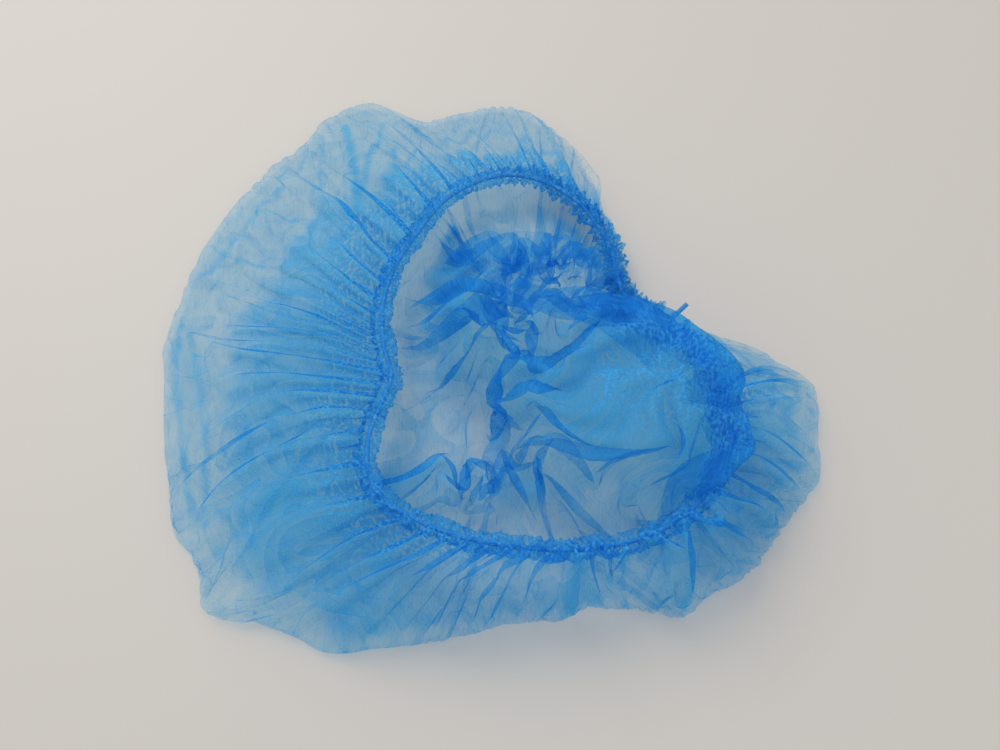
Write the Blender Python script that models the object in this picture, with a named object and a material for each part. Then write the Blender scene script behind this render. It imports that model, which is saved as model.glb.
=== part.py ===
"""A disposable bouffant cap of thin non-woven cloth, lying crown down with its gathered opening up.

The cap is one disc of cloth. Seen from above, the cloth runs from the middle of the crown along the
surface to the fold at the silhouette, turns back over itself, and climbs inward over a shoulder to the
gathered opening. There a folded hem holds an elastic loop. Part of the crown is pushed up through the
opening as a puffed mound, and a strip of folded cloth bridges from the left side to it.

Every place is given by a bearing round the opening's centre, counted from +X towards +Y, and a reach.
"""
import math
from dataclasses import dataclass

import bmesh
import bpy
import numpy as np

# Overall size of the lying cap, in metres
CAP_WIDTH = 0.300
CAP_DEPTH = 0.285
CAP_HEIGHT = 0.052

# Cloth: the wall stands for several crumpled layers of thin cloth
CLOTH_WALL = 0.0012
EDGE_FOLD_HEIGHT = 0.0080
PLEAT_HEIGHT = 0.0028
RUFFLE_DEPTH = 0.0024
LAYER_GAP = 0.0010

# Hem and elastic
HEM_WALL = 0.0011
HEM_CRIMP = 0.0016
HEM_BREAK_LENGTH = 0.0100
ELASTIC_DIAMETER = 0.0022
TAIL_LENGTH = 0.0080
TAIL_RISE = math.radians(35.0)
TAIL_BEARING = math.radians(27.0)

# Clearances
BORE_GAP = 0.0004
SEAT_GAP = 0.0004

# Shape of the joins, in hem radii unless stated
SEAT_TURN_SPAN = 7.0
PLEAT_FADE_SPAN = 3.0
SHOULDER_SPAN = 4.0
TUFT_CLEARANCE = 1.5
TUFT_STEEPNESS = 1.7
TUFT_JOIN_SHARPNESS = 6.0

# Mesh density
COLUMNS = 72
FLOOR_ROWS = 13
EDGE_ROWS = 14
HEM_STATIONS = 120
HEM_SIDES = 7
ELASTIC_SIDES = 6
SMOOTH_ANGLE = math.radians(50.0)

# One row for each 15 degrees of bearing, from +X towards +Y.
# outline and ring are reaches from the opening's centre, in shares of SHARE_X and SHARE_Y, which are
# worked out below so that the outline spans the cap's width and depth.
# ring_height and crest are shares of the cap's height. ruffle is a share of the pleats' height
# that is left at the silhouette.
SECTION_COLUMNS = ("outline", "ring", "ring_height", "crest", "ruffle")
SECTIONS = (
    (0.89, 0.58, 0.34, 0.40, 0.5),
    (0.72, 0.56, 0.26, 0.16, 0.2),
    (0.56, 0.54, 0.22, 0.10, 0.0),
    (0.52, 0.50, 0.21, 0.10, 0.0),
    (0.66, 0.62, 0.21, 0.10, 0.0),
    (0.93, 0.75, 0.25, 0.18, 0.1),
    (1.15, 0.80, 0.31, 0.32, 0.3),
    (1.19, 0.73, 0.37, 0.39, 0.2),
    (1.33, 0.61, 0.41, 0.40, 0.0),
    (1.23, 0.53, 0.42, 0.42, 0.0),
    (1.17, 0.46, 0.42, 0.45, 0.0),
    (1.13, 0.40, 0.42, 0.46, 0.0),
    (1.08, 0.36, 0.42, 0.47, 0.0),
    (1.06, 0.40, 0.44, 0.48, 0.1),
    (1.05, 0.48, 0.46, 0.50, 0.3),
    (1.00, 0.54, 0.48, 0.53, 0.6),
    (0.91, 0.54, 0.50, 0.56, 0.8),
    (0.80, 0.54, 0.51, 0.58, 0.8),
    (0.72, 0.55, 0.52, 0.59, 0.8),
    (0.74, 0.58, 0.53, 0.60, 1.0),
    (0.78, 0.62, 0.54, 0.60, 1.0),
    (0.84, 0.65, 0.53, 0.58, 1.0),
    (0.88, 0.65, 0.50, 0.56, 1.0),
    (0.91, 0.62, 0.41, 0.52, 0.8),
)


@dataclass(frozen=True)
class Tuft:
    """A puff of crown cloth pushed up from the surface.

    Place and radii are shares of SHARE_X and SHARE_Y, and height is a share of the cap's height.
    """

    name: str
    place: tuple
    radii: tuple
    height: float


@dataclass(frozen=True)
class Fold:
    """A ridge, or a dent where its height is below zero, along a straight run of cloth.

    Places and half_width are shares of SHARE_X and SHARE_Y from the opening's centre, and height is a
    share of the cap's height.
    """

    name: str
    start: tuple
    end: tuple
    half_width: float
    height: float


TUFTS = (
    Tuft("mound_crest", (0.22, -0.02), (0.36, 0.34), 0.94),
    Tuft("mound_upper_lobe", (-0.04, 0.22), (0.27, 0.25), 0.70),
    Tuft("mound_left_spur", (-0.07, -0.01), (0.22, 0.21), 0.60),
    Tuft("mound_right_shoulder", (0.38, -0.12), (0.26, 0.28), 0.84),
    Tuft("mound_top_point", (0.18, 0.36), (0.22, 0.17), 0.48),
)

FLOOR_FOLDS = (
    Fold("bridge", (-0.42, -0.29), (0.10, -0.33), 0.085, 0.42),
    Fold("left_window_crease", (-0.34, 0.22), (-0.22, 0.02), 0.05, 0.06),
    Fold("top_window_crease", (-0.05, 0.62), (0.20, 0.50), 0.05, 0.06),
)

UPPER_FOLDS = (
    Fold("front_lip", (-0.06, -0.60), (0.52, -0.56), 0.10, 0.10),
    Fold("upper_left_crease", (-0.82, 0.98), (-0.56, 0.60), 0.06, 0.10),
    Fold("upper_crease", (-0.58, 1.04), (-0.52, 0.58), 0.05, 0.09),
    Fold("valley_between_lobes", (-0.33, 1.12), (-0.20, 0.86), 0.08, -0.12),
    Fold("left_long_crease", (-1.00, 0.30), (-0.96, -0.42), 0.07, 0.10),
    Fold("left_dent", (-0.84, 0.36), (-0.62, 0.10), 0.10, -0.12),
    Fold("left_shoulder_ridge", (-0.66, 0.42), (-0.56, -0.12), 0.10, 0.10),
    Fold("front_left_dent", (-0.74, -0.66), (-0.40, -0.56), 0.08, -0.12),
    Fold("front_fold", (0.19, -0.72), (0.17, -0.50), 0.05, 0.10),
    Fold("right_ridge", (0.46, 0.18), (0.82, 0.02), 0.08, 0.08),
    Fold("right_dent", (0.60, -0.36), (0.78, -0.22), 0.08, -0.12),
)

BORE_RADIUS = (ELASTIC_DIAMETER / 2.0 + BORE_GAP) / math.cos(math.pi / HEM_SIDES)
HEM_TROUGH = BORE_RADIUS + HEM_WALL
HEM_RADIUS = HEM_TROUGH + HEM_CRIMP


def clear_scene():
    """Remove every object of the scene."""
    for item in list(bpy.data.objects):
        bpy.data.objects.remove(item, do_unlink=True)


def smooth_step(value):
    """Ease from 0 to 1 as value goes from 0 to 1."""
    share = np.clip(value, 0.0, 1.0)
    return share * share * (3.0 - 2.0 * share)


def blend(first, second, share):
    """Go from first to second by share."""
    return first + (second - first) * share


def catmull_rom(before, start, end, after, share):
    """Return the smooth curve's value between start and end."""
    return 0.5 * (
        2.0 * start
        + (end - before) * share
        + (2.0 * before - 5.0 * start + 4.0 * end - after) * share**2
        + (3.0 * start - before - 3.0 * end + after) * share**3
    )


def section_value(column, bearing):
    """Return one column of the section table at any bearing."""
    values = np.array([row[SECTION_COLUMNS.index(column)] for row in SECTIONS])
    count = len(values)
    place = np.asarray(bearing) / (2.0 * math.pi) * count
    base = np.floor(place).astype(int)
    neighbours = [values[(base + step) % count] for step in (-1, 0, 1, 2)]
    return catmull_rom(*neighbours, place - base)


def share_lengths():
    """Return the lengths along X and Y of a share of 1, so that the outline spans the cap's size."""
    bearing = np.radians(np.arange(360))
    outline = section_value("outline", bearing)
    return (
        CAP_WIDTH / np.ptp(outline * np.cos(bearing)),
        CAP_DEPTH / np.ptp(outline * np.sin(bearing)),
    )


def direction(bearing):
    """Return the level unit vector of a bearing, and the length that a share of 1 has along it."""
    along = np.stack([np.cos(bearing) * SHARE_X, np.sin(bearing) * SHARE_Y], axis=-1)
    length = np.linalg.norm(along, axis=-1)
    return along / length[..., None], length


SHARE_X, SHARE_Y = share_lengths()


def outline_reach(bearing):
    """Reach of the cap's silhouette."""
    return section_value("outline", bearing) * direction(bearing)[1]


def ring_reach(bearing):
    """Reach of the elastic, which stays a hem's radius inside the silhouette."""
    reach = section_value("ring", bearing) * direction(bearing)[1]
    return np.minimum(reach, outline_reach(bearing) - HEM_RADIUS)


def ring_height(bearing):
    """Height of the elastic over the surface."""
    return section_value("ring_height", bearing) * CAP_HEIGHT


def at_bearing(bearing, reach, height):
    """Return points in space, with the opening's centre over the origin."""
    level = direction(bearing)[0] * np.asarray(reach)[..., None]
    height = np.broadcast_to(height, level.shape[:-1])
    return np.concatenate([level, height[..., None]], axis=-1)


def run_distance(points, fold):
    """Distance of points from a fold's run, in half widths of the fold."""
    scale = np.array([SHARE_X, SHARE_Y])
    shares = points[..., :2] / scale
    start = np.array(fold.start)
    run = np.array(fold.end) - start
    along = np.clip(((shares - start) @ run) / (run @ run), 0.0, 1.0)
    nearest = start + along[..., None] * run
    return np.linalg.norm(shares - nearest, axis=-1) / fold.half_width


def fold_relief(points, folds):
    """Sum of the folds' heights over points."""
    relief = np.zeros(points.shape[:-1])
    for fold in folds:
        relief += fold.height * CAP_HEIGHT * smooth_step(1.0 - 0.5 * run_distance(points, fold))
    return relief


def tuft_relief(points):
    """Height of the pushed-up cloth over points, the tallest tuft with a soft join to the others."""
    total = np.zeros(points.shape[:-1])
    for tuft in TUFTS:
        centre = np.array(tuft.place) * (SHARE_X, SHARE_Y)
        radii = np.array(tuft.radii) * (SHARE_X, SHARE_Y)
        distance = np.linalg.norm((points[..., :2] - centre) / radii, axis=-1)
        bump = tuft.height * smooth_step(TUFT_STEEPNESS * (1.0 - distance))
        total += bump**TUFT_JOIN_SHARPNESS
    return total ** (1.0 / TUFT_JOIN_SHARPNESS) * CAP_HEIGHT


def floor_points(bearing):
    """Outer face of the cloth that lies on the surface, from the middle of the crown outward."""
    fold_rise = edge_fold_rise(bearing)
    inner = ring_reach(bearing) - HEM_RADIUS
    outer = outline_reach(bearing) - 2.0 * fold_rise
    inner_rows = FLOOR_ROWS - 3
    rows = []
    for row in range(1, FLOOR_ROWS):
        within = inner * row / inner_rows
        beyond = blend(inner, outer, (row - inner_rows) / (FLOOR_ROWS - inner_rows))
        rows.append(at_bearing(bearing, within if row <= inner_rows else beyond, 0.0))
    points = np.stack(rows)
    inside_hem = inner - np.linalg.norm(points[..., :2], axis=-1)
    clear_of_hem = smooth_step(inside_hem / (TUFT_CLEARANCE * HEM_RADIUS))
    relief = np.maximum(tuft_relief(points), fold_relief(points, FLOOR_FOLDS))
    points[..., 2] = relief * clear_of_hem
    return points


def edge_fold_rise(bearing):
    """Half the height of the fold at the silhouette, less where the hem sits on it."""
    under_hem = ring_height(bearing) - HEM_RADIUS - SEAT_GAP
    return np.minimum(EDGE_FOLD_HEIGHT, under_hem) / 2.0


def hem_freedom(bearing, hem_radii):
    """Return 1 where the hem lies that many radii inside the silhouette, and 0 where it is outermost."""
    spare = outline_reach(bearing) - ring_reach(bearing) - HEM_RADIUS
    return smooth_step(spare / (hem_radii * HEM_RADIUS))


def hem_seat(bearing):
    """Where the upper cloth meets the hem: at its outer side, or from below where the hem is outermost."""
    return beside_hem(bearing, SEAT_GAP)


def seat_angle(bearing):
    """Angle over the level of the line from the elastic to the hem's seat."""
    return -math.pi / 2.0 * (1.0 - hem_freedom(bearing, SEAT_TURN_SPAN))


def beside_hem(bearing, gap):
    """Return the reach and height of a place at a gap from the hem, on the line of its seat."""
    angle = seat_angle(bearing)
    distance = HEM_RADIUS + gap
    reach = ring_reach(bearing) + distance * np.cos(angle) / ring_squareness(bearing)
    return reach, ring_height(bearing) + distance * np.sin(angle)


def ring_squareness(bearing):
    """Cosine of the angle between a bearing and the level line square to the ring there."""
    step = math.radians(1.0)
    run = (ring_path(bearing + step) - ring_path(bearing - step))[:, :2]
    run /= np.linalg.norm(run, axis=1)[:, None]
    level = direction(bearing)[0]
    return np.abs(run[:, 0] * level[:, 1] - run[:, 1] * level[:, 0])


def edge_points(bearing):
    """Outer face of the cloth from the surface round the silhouette's fold and up to the hem."""
    fold_rise = edge_fold_rise(bearing)
    outline = outline_reach(bearing)
    seat_reach, seat_height = hem_seat(bearing)
    span = outline - seat_reach
    openness = smooth_step((span - HEM_RADIUS) / (SHOULDER_SPAN * HEM_RADIUS))
    crest = section_value("crest", bearing) * CAP_HEIGHT
    crest = blend(blend(fold_rise, seat_height, 0.75), crest, openness)
    shoulder = blend(2.0 * fold_rise, crest, 0.3 * openness)
    shoulder = blend(blend(fold_rise, seat_height, 0.4), shoulder, openness)
    lead_reach, lead_height = beside_hem(bearing, SEAT_GAP + CLOTH_WALL)
    reach = [outline - 3.0 * fold_rise, outline - 1.6 * fold_rise, outline]
    reach += [outline - 0.16 * span, outline - 0.55 * span, lead_reach, seat_reach]
    height = [0.0 * fold_rise, 0.0 * fold_rise, fold_rise, shoulder, crest, lead_height, seat_height]
    reach.append(2.0 * reach[-1] - reach[-2])
    height.append(2.0 * height[-1] - height[-2])
    knots = np.stack([np.stack(reach), np.stack(height)], axis=-1)
    return at_bearing_rows(bearing, even_rows(knots, EDGE_ROWS))


def even_rows(knots, count):
    """Sample the smooth curves through knots[1:-1] at evenly spaced rows along each curve."""
    fine = 24
    dense = []
    for index in range(1, len(knots) - 2):
        for step in range(fine):
            dense.append(catmull_rom(*knots[index - 1:index + 3], step / fine))
    dense.append(knots[-2])
    dense = np.stack(dense)
    steps = np.linalg.norm(np.diff(dense, axis=0), axis=-1)
    travelled = np.concatenate([np.zeros((1, steps.shape[1])), np.cumsum(steps, axis=0)])
    rows = np.zeros((count, knots.shape[1], 2))
    for column in range(knots.shape[1]):
        wanted = np.linspace(0.0, travelled[-1, column], count)
        for axis in range(2):
            rows[:, column, axis] = np.interp(wanted, travelled[:, column], dense[:, column, axis])
    return rows


def at_bearing_rows(bearing, rows):
    """Place rows of reach and height in space, with the pleats, ruffles and folds of the upper cloth."""
    count = len(rows)
    outline = outline_reach(bearing)
    seat_reach = hem_seat(bearing)[0]
    openness = smooth_step((outline - seat_reach - HEM_RADIUS) / (SHOULDER_SPAN * HEM_RADIUS))
    ruffle = section_value("ruffle", bearing)
    freedom = hem_freedom(bearing, PLEAT_FADE_SPAN) ** 2
    side = np.where(np.arange(len(bearing)) % 2 == 0, 1.0, -1.0)
    points = np.stack([at_bearing(bearing, row[:, 0], row[:, 1]) for row in rows])
    for index in range(count):
        travelled = index / (count - 1)
        lifted = smooth_step((travelled - 0.15) / 0.25)
        growth = blend(ruffle, 1.0, travelled) * travelled * openness * freedom
        pleat = side * PLEAT_HEIGHT * growth * lifted
        turn = seat_angle(bearing) * travelled**2
        points[index, :, 2] += pleat * np.cos(turn)
        points[index, :, :2] -= direction(bearing)[0] * (pleat * np.sin(turn))[:, None]
        bulge = smooth_step(travelled / 0.15) * smooth_step((0.5 - travelled) / 0.3)
        pull = RUFFLE_DEPTH * ruffle * bulge * (side - 1.0) / 2.0
        points[index, :, :2] += direction(bearing)[0] * pull[:, None]
        clear_of_hem = smooth_step((1.0 - travelled) / 0.2)
        relief = fold_relief(points[index], UPPER_FOLDS) * lifted * clear_of_hem * openness
        lowest = 2.0 * CLOTH_WALL + LAYER_GAP + PLEAT_HEIGHT * 0.5 * (1.0 + side)
        height = points[index, :, 2]
        points[index, :, 2] = np.where(lifted * openness > 0.5, np.maximum(height + relief, lowest), height)
    return points


def crown_points():
    """Return the crown's outer face as rows of columns, and the point at the middle of the crown."""
    bearing = np.arange(COLUMNS) * 2.0 * math.pi / COLUMNS
    rows = np.concatenate([floor_points(bearing), edge_points(bearing)])
    middle = np.zeros((1, 3))
    middle[:, 2] = tuft_relief(middle)
    return middle[0], rows


def tube_rings(path, radii, sides):
    """Return rings of points round a path, one ring for each of its points."""
    heading = np.gradient(path, axis=0)
    heading /= np.linalg.norm(heading, axis=1)[:, None]
    across = np.cross(heading, (0.0, 0.0, 1.0))
    across /= np.linalg.norm(across, axis=1)[:, None]
    upward = np.cross(across, heading)
    turn = -np.arange(sides) * 2.0 * math.pi / sides
    spoke = across[:, None] * np.cos(turn)[:, None] + upward[:, None] * np.sin(turn)[:, None]
    return path[:, None] + spoke * np.asarray(radii)[:, None, None]


def ring_path(bearing):
    """Centre line of the elastic."""
    return at_bearing(bearing, ring_reach(bearing), ring_height(bearing))


def hem_path():
    """Centre line of the hem, open at the elastic's tail."""
    break_angle = HEM_BREAK_LENGTH / float(ring_reach(np.array([TAIL_BEARING]))[0])
    share = np.linspace(0.0, 1.0, HEM_STATIONS)
    return ring_path(TAIL_BEARING + blend(break_angle / 2.0, 2.0 * math.pi - break_angle / 2.0, share))


def elastic_path():
    """Centre line of the elastic: once round inside the hem, then out through the hem's break as a tail."""
    radius = ELASTIC_DIAMETER / 2.0
    turn_radius = 2.0 * radius
    reach = float(ring_reach(np.array([TAIL_BEARING]))[0])
    tail_side = radius + SEAT_GAP / 2.0
    end_angle = 2.0 * math.pi - (tail_side + turn_radius) / reach
    break_angle = HEM_BREAK_LENGTH / reach
    start = ring_path(TAIL_BEARING + np.array([SEAT_GAP / 2.0 / reach]))
    around = hem_path()
    last = ring_path(TAIL_BEARING + np.array([blend(2.0 * math.pi - break_angle / 2.0, end_angle, 0.7)]))
    heading = last[0] - around[-1]
    heading /= np.linalg.norm(heading)
    outward = np.array([heading[1], -heading[0], 0.0])
    outward /= np.linalg.norm(outward)
    outward = outward * math.cos(TAIL_RISE) + np.array([0.0, 0.0, math.sin(TAIL_RISE)])
    bend = []
    for step in range(1, 6):
        angle = math.pi / 2.0 * step / 5
        offset = heading * math.sin(angle) + outward * (1.0 - math.cos(angle))
        bend.append(last[0] + offset * turn_radius)
    tip = bend[-1] + outward * TAIL_LENGTH
    middle = bend[-1] + outward * TAIL_LENGTH / 2.0
    return np.concatenate([start, around, last, np.array(bend), middle[None], tip[None]])


def make_material(name, colour, roughness):
    """Make a plain material of one colour."""
    material = bpy.data.materials.new(name)
    material.use_nodes = True
    shader = material.node_tree.nodes["Principled BSDF"]
    shader.inputs["Base Color"].default_value = (*colour, 1.0)
    shader.inputs["Roughness"].default_value = roughness
    shader.inputs["Metallic"].default_value = 0.0
    return material


def add_object(name, mesh_builder, material):
    """Make an object from a filled bmesh and shade it smooth."""
    builder = bmesh.new()
    mesh_builder(builder)
    mesh = bpy.data.meshes.new(name)
    builder.to_mesh(mesh)
    builder.free()
    mesh.materials.append(material)
    mesh.shade_smooth()
    mesh.set_sharp_from_angle(angle=SMOOTH_ANGLE)
    item = bpy.data.objects.new(name, mesh)
    bpy.context.collection.objects.link(item)
    return item


def add_wall(item, thickness):
    """Give a sheet its wall, on the inner side of its outer face."""
    wall = item.modifiers.new("wall", "SOLIDIFY")
    wall.thickness = thickness
    wall.offset = -1.0
    wall.use_even_offset = False
    wall.use_rim = True


def join_rows(builder, rows, closed=True):
    """Join rows of bmesh points into quads that face away from the first row's inner side."""
    for lower, upper in zip(rows[:-1], rows[1:]):
        count = len(lower)
        for index in range(count if closed else count - 1):
            after = (index + 1) % count
            builder.faces.new((lower[index], lower[after], upper[after], upper[index]))


def make_crown(shift, material):
    """The cloth disc as a bag that is open at the ring, with its wall."""

    def fill(builder):
        middle, rows = crown_points()
        centre = builder.verts.new(middle + shift)
        rings = [[builder.verts.new(point + shift) for point in row] for row in rows]
        for index, point in enumerate(rings[0]):
            builder.faces.new((centre, rings[0][(index + 1) % COLUMNS], point))
        join_rows(builder, rings)

    item = add_object("crown", fill, material)
    add_wall(item, CLOTH_WALL)
    return item


def make_hem(shift, material):
    """The casing folded over the elastic, bunched into crimps, open at both ends of its break."""
    crimp = np.where(np.arange(HEM_STATIONS) % 2 == 0, 1.0, 0.0)
    radii = HEM_TROUGH + HEM_CRIMP * crimp

    def fill(builder):
        rings = tube_rings(hem_path() + shift, radii, HEM_SIDES)
        join_rows(builder, [[builder.verts.new(point) for point in ring] for ring in rings])

    item = add_object("hem", fill, material)
    add_wall(item, HEM_WALL)
    return item


def make_elastic(shift, material):
    """The elastic cord inside the hem, with its free tail."""
    path = elastic_path() + shift

    def fill(builder):
        radii = np.full(len(path), ELASTIC_DIAMETER / 2.0)
        rings = tube_rings(path, radii, ELASTIC_SIDES)
        rows = [[builder.verts.new(point) for point in ring] for ring in rings]
        join_rows(builder, rows)
        builder.faces.new(rows[0][::-1])
        builder.faces.new(rows[-1])

    return add_object("elastic", fill, material)


def main():
    """Build the cap with its outline's middle over the origin and its crown on the surface."""
    clear_scene()
    rows = crown_points()[1]
    low = rows.min(axis=(0, 1))
    high = rows.max(axis=(0, 1))
    shift = np.array([-(low[0] + high[0]) / 2.0, -(low[1] + high[1]) / 2.0, 0.0])
    cloth = make_material("nonwoven_cloth", (0.04, 0.26, 0.72), 0.85)
    hem_cloth = make_material("gathered_cloth", (0.03, 0.22, 0.68), 0.85)
    rubber = make_material("covered_elastic", (0.05, 0.25, 0.62), 0.7)
    make_crown(shift, cloth)
    make_hem(shift, hem_cloth)
    make_elastic(shift, rubber)


main()
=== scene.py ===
"""A disposable bouffant cap of thin blue non-woven cloth, lying crown down with its opening facing up.

The crown is one disc of cloth, solved as a sheet that can't stretch over the lying form and buckles into
folds where it is gathered. The hem and the elastic follow the gathered opening.
"""
import logging
import math
from dataclasses import dataclass, field
from enum import Enum

import bpy
import numpy as np
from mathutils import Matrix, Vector


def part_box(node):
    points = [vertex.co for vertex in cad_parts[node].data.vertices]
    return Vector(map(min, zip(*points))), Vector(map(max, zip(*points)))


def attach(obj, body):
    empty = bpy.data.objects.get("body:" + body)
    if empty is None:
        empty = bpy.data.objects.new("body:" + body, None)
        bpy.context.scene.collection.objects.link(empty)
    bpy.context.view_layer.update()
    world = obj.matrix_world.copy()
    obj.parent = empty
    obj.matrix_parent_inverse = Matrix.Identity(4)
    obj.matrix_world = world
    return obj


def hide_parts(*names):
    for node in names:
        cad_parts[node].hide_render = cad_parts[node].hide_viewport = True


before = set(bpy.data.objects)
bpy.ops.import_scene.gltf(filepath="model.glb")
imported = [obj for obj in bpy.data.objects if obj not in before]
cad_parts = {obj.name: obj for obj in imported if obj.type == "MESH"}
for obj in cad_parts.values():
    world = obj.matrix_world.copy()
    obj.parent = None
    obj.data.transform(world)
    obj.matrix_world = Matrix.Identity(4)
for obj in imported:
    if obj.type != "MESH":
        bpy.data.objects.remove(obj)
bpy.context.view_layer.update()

LOG = logging.getLogger("bouffant_cap")
BODY = "root"
TURN = 2.0 * math.pi

# The cloth's sizes, in metres, that more than one piece needs
DISC_RADIUS = 0.2665
TABLE_GAP = 0.0004

# How finely a whole turn is sampled, the height that stands for no limit, and the random ridges of
# crumpled cloth, as pairs of a wavelength and a height in metres
TURN_SAMPLES = 1440
NO_LIMIT = 1.0
RIDGES = ((0.060, 0.0060), (0.034, 0.0050), (0.022, 0.0030))


def smooth_step(value: np.ndarray) -> np.ndarray:
    """Ease from 0 to 1 as value goes from 0 to 1."""
    share = np.clip(value, 0.0, 1.0)
    return share * share * (3.0 - 2.0 * share)


def blend(first: np.ndarray, second: np.ndarray, share: np.ndarray) -> np.ndarray:
    """Go from first to second by share."""
    return first + (second - first) * share


def catmull_rom(before: np.ndarray, start: np.ndarray, end: np.ndarray, after: np.ndarray,
                share: np.ndarray) -> np.ndarray:
    """Return the smooth curve's value between start and end."""
    return 0.5 * (
        2.0 * start
        + (end - before) * share
        + (2.0 * before - 5.0 * start + 4.0 * end - after) * share**2
        + (3.0 * start - before - 3.0 * end + after) * share**3
    )


def run_distance(places: np.ndarray, start: np.ndarray, end: np.ndarray) -> np.ndarray:
    """Return how far places are from the straight run between two points.

    Args:
        places: level places.
        start: the run's first point.
        end: the run's last point.

    Returns:
        The distance of each place, in the places' own units.
    """
    run = end - start
    along = np.clip(((places - start) @ run) / (run @ run), 0.0, 1.0)
    return np.linalg.norm(places - start - along[..., None] * run, axis=-1)


@dataclass(frozen=True)
class Section:
    """The lying cap at one bearing, in shares of the cap's size."""

    outline: float
    ring: float
    ring_height: float
    crest: float
    ruffle: float
    sheer: float


@dataclass(frozen=True)
class Corner:
    """A corner of the silhouette: its bearing and half width in degrees, and how far it stands out."""

    bearing: float
    half_width: float
    out: float


@dataclass(frozen=True)
class Tuft:
    """A puff of crown cloth pushed up from the surface, in shares of the cap's size."""

    place: tuple
    radii: tuple
    height: float


@dataclass(frozen=True)
class Fold:
    """A ridge, or a dent where height is below zero, along a straight run, in shares of the cap's size."""

    start: tuple
    end: tuple
    half_width: float
    height: float


@dataclass(frozen=True)
class Patch:
    """A strip of the floor layer that is denser or thinner: its run, half width, layers and crimps."""

    start: tuple
    end: tuple
    half_width: float
    layers: float
    crimped: float


@dataclass(frozen=True)
class Crease:
    """A thin tuck in the upper layer: its run in shares, its half width in metres and its extra layers."""

    run: tuple
    half_width: float
    layers: float


SECTIONS = (
    Section(0.89, 0.58, 0.34, 0.40, 0.5, 0.35),
    Section(0.72, 0.56, 0.26, 0.16, 0.2, 0.50),
    Section(0.56, 0.54, 0.22, 0.10, 0.0, 0.30),
    Section(0.52, 0.50, 0.21, 0.10, 0.0, 0.30),
    Section(0.66, 0.62, 0.21, 0.10, 0.0, 0.35),
    Section(0.93, 0.75, 0.25, 0.18, 0.1, 0.60),
    Section(1.15, 0.80, 0.31, 0.32, 0.3, 0.70),
    Section(1.19, 0.73, 0.37, 0.39, 0.2, 0.72),
    Section(1.33, 0.61, 0.41, 0.40, 0.0, 0.65),
    Section(1.23, 0.53, 0.42, 0.42, 0.0, 0.52),
    Section(1.17, 0.46, 0.42, 0.45, 0.0, 0.42),
    Section(1.13, 0.40, 0.42, 0.46, 0.0, 0.34),
    Section(1.08, 0.36, 0.42, 0.47, 0.0, 0.30),
    Section(1.06, 0.40, 0.44, 0.48, 0.1, 0.28),
    Section(1.05, 0.48, 0.46, 0.50, 0.3, 0.24),
    Section(1.00, 0.54, 0.48, 0.53, 0.6, 0.22),
    Section(0.91, 0.54, 0.50, 0.56, 0.8, 0.12),
    Section(0.80, 0.54, 0.51, 0.58, 0.8, 0.08),
    Section(0.72, 0.55, 0.52, 0.59, 0.8, 0.05),
    Section(0.74, 0.58, 0.53, 0.60, 1.0, 0.05),
    Section(0.78, 0.62, 0.54, 0.60, 1.0, 0.05),
    Section(0.84, 0.65, 0.53, 0.58, 1.0, 0.08),
    Section(0.88, 0.65, 0.50, 0.56, 1.0, 0.12),
    Section(0.91, 0.62, 0.41, 0.52, 0.8, 0.20),
)


CORNERS = (
    Corner(2.0, 8.0, 0.045),
    Corner(12.0, 5.0, 0.030),
    Corner(83.0, 8.0, 0.050),
    Corner(92.0, 5.0, 0.020),
    Corner(106.0, 4.0, -0.035),
    Corner(112.0, 4.0, 0.050),
    Corner(126.0, 5.0, -0.060),
    Corner(172.0, 4.0, 0.022),
    Corner(204.0, 4.0, 0.022),
    Corner(220.0, 5.0, 0.080),
    Corner(238.0, 5.0, 0.035),
    Corner(290.0, 8.0, -0.035),
    Corner(304.0, 5.0, 0.040),
    Corner(318.0, 6.0, 0.030),
    Corner(343.0, 6.0, 0.035),
)

TUFTS = (
    Tuft((0.22, -0.02), (0.40, 0.38), 0.78),
    Tuft((-0.03, 0.22), (0.28, 0.27), 0.60),
    Tuft((0.04, 0.04), (0.19, 0.19), 0.50),
    Tuft((0.38, -0.12), (0.28, 0.30), 0.74),
    Tuft((0.14, 0.33), (0.21, 0.18), 0.44),
)

FLOOR_FOLDS = (
    Fold((-0.42, -0.29), (0.06, -0.33), 0.055, 0.28),
)

PATCHES = (
    Patch((-0.42, 0.70), (-0.24, 0.64), 0.07, 2.6, 0.0),
    Patch((-0.24, 0.64), (-0.20, 0.40), 0.07, 2.6, 0.0),
    Patch((-0.20, 0.40), (-0.12, 0.22), 0.08, 2.0, 0.0),
    Patch((0.14, 0.50), (0.20, 0.47), 0.05, -2.5, 0.0),
    Patch((0.16, 0.66), (0.34, 0.52), 0.07, 1.6, 0.0),
    Patch((0.28, -0.06), (0.50, -0.10), 0.12, 0.8, 0.6),
    Patch((-0.34, -0.26), (-0.02, -0.30), 0.05, 1.4, 0.0),
)

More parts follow.
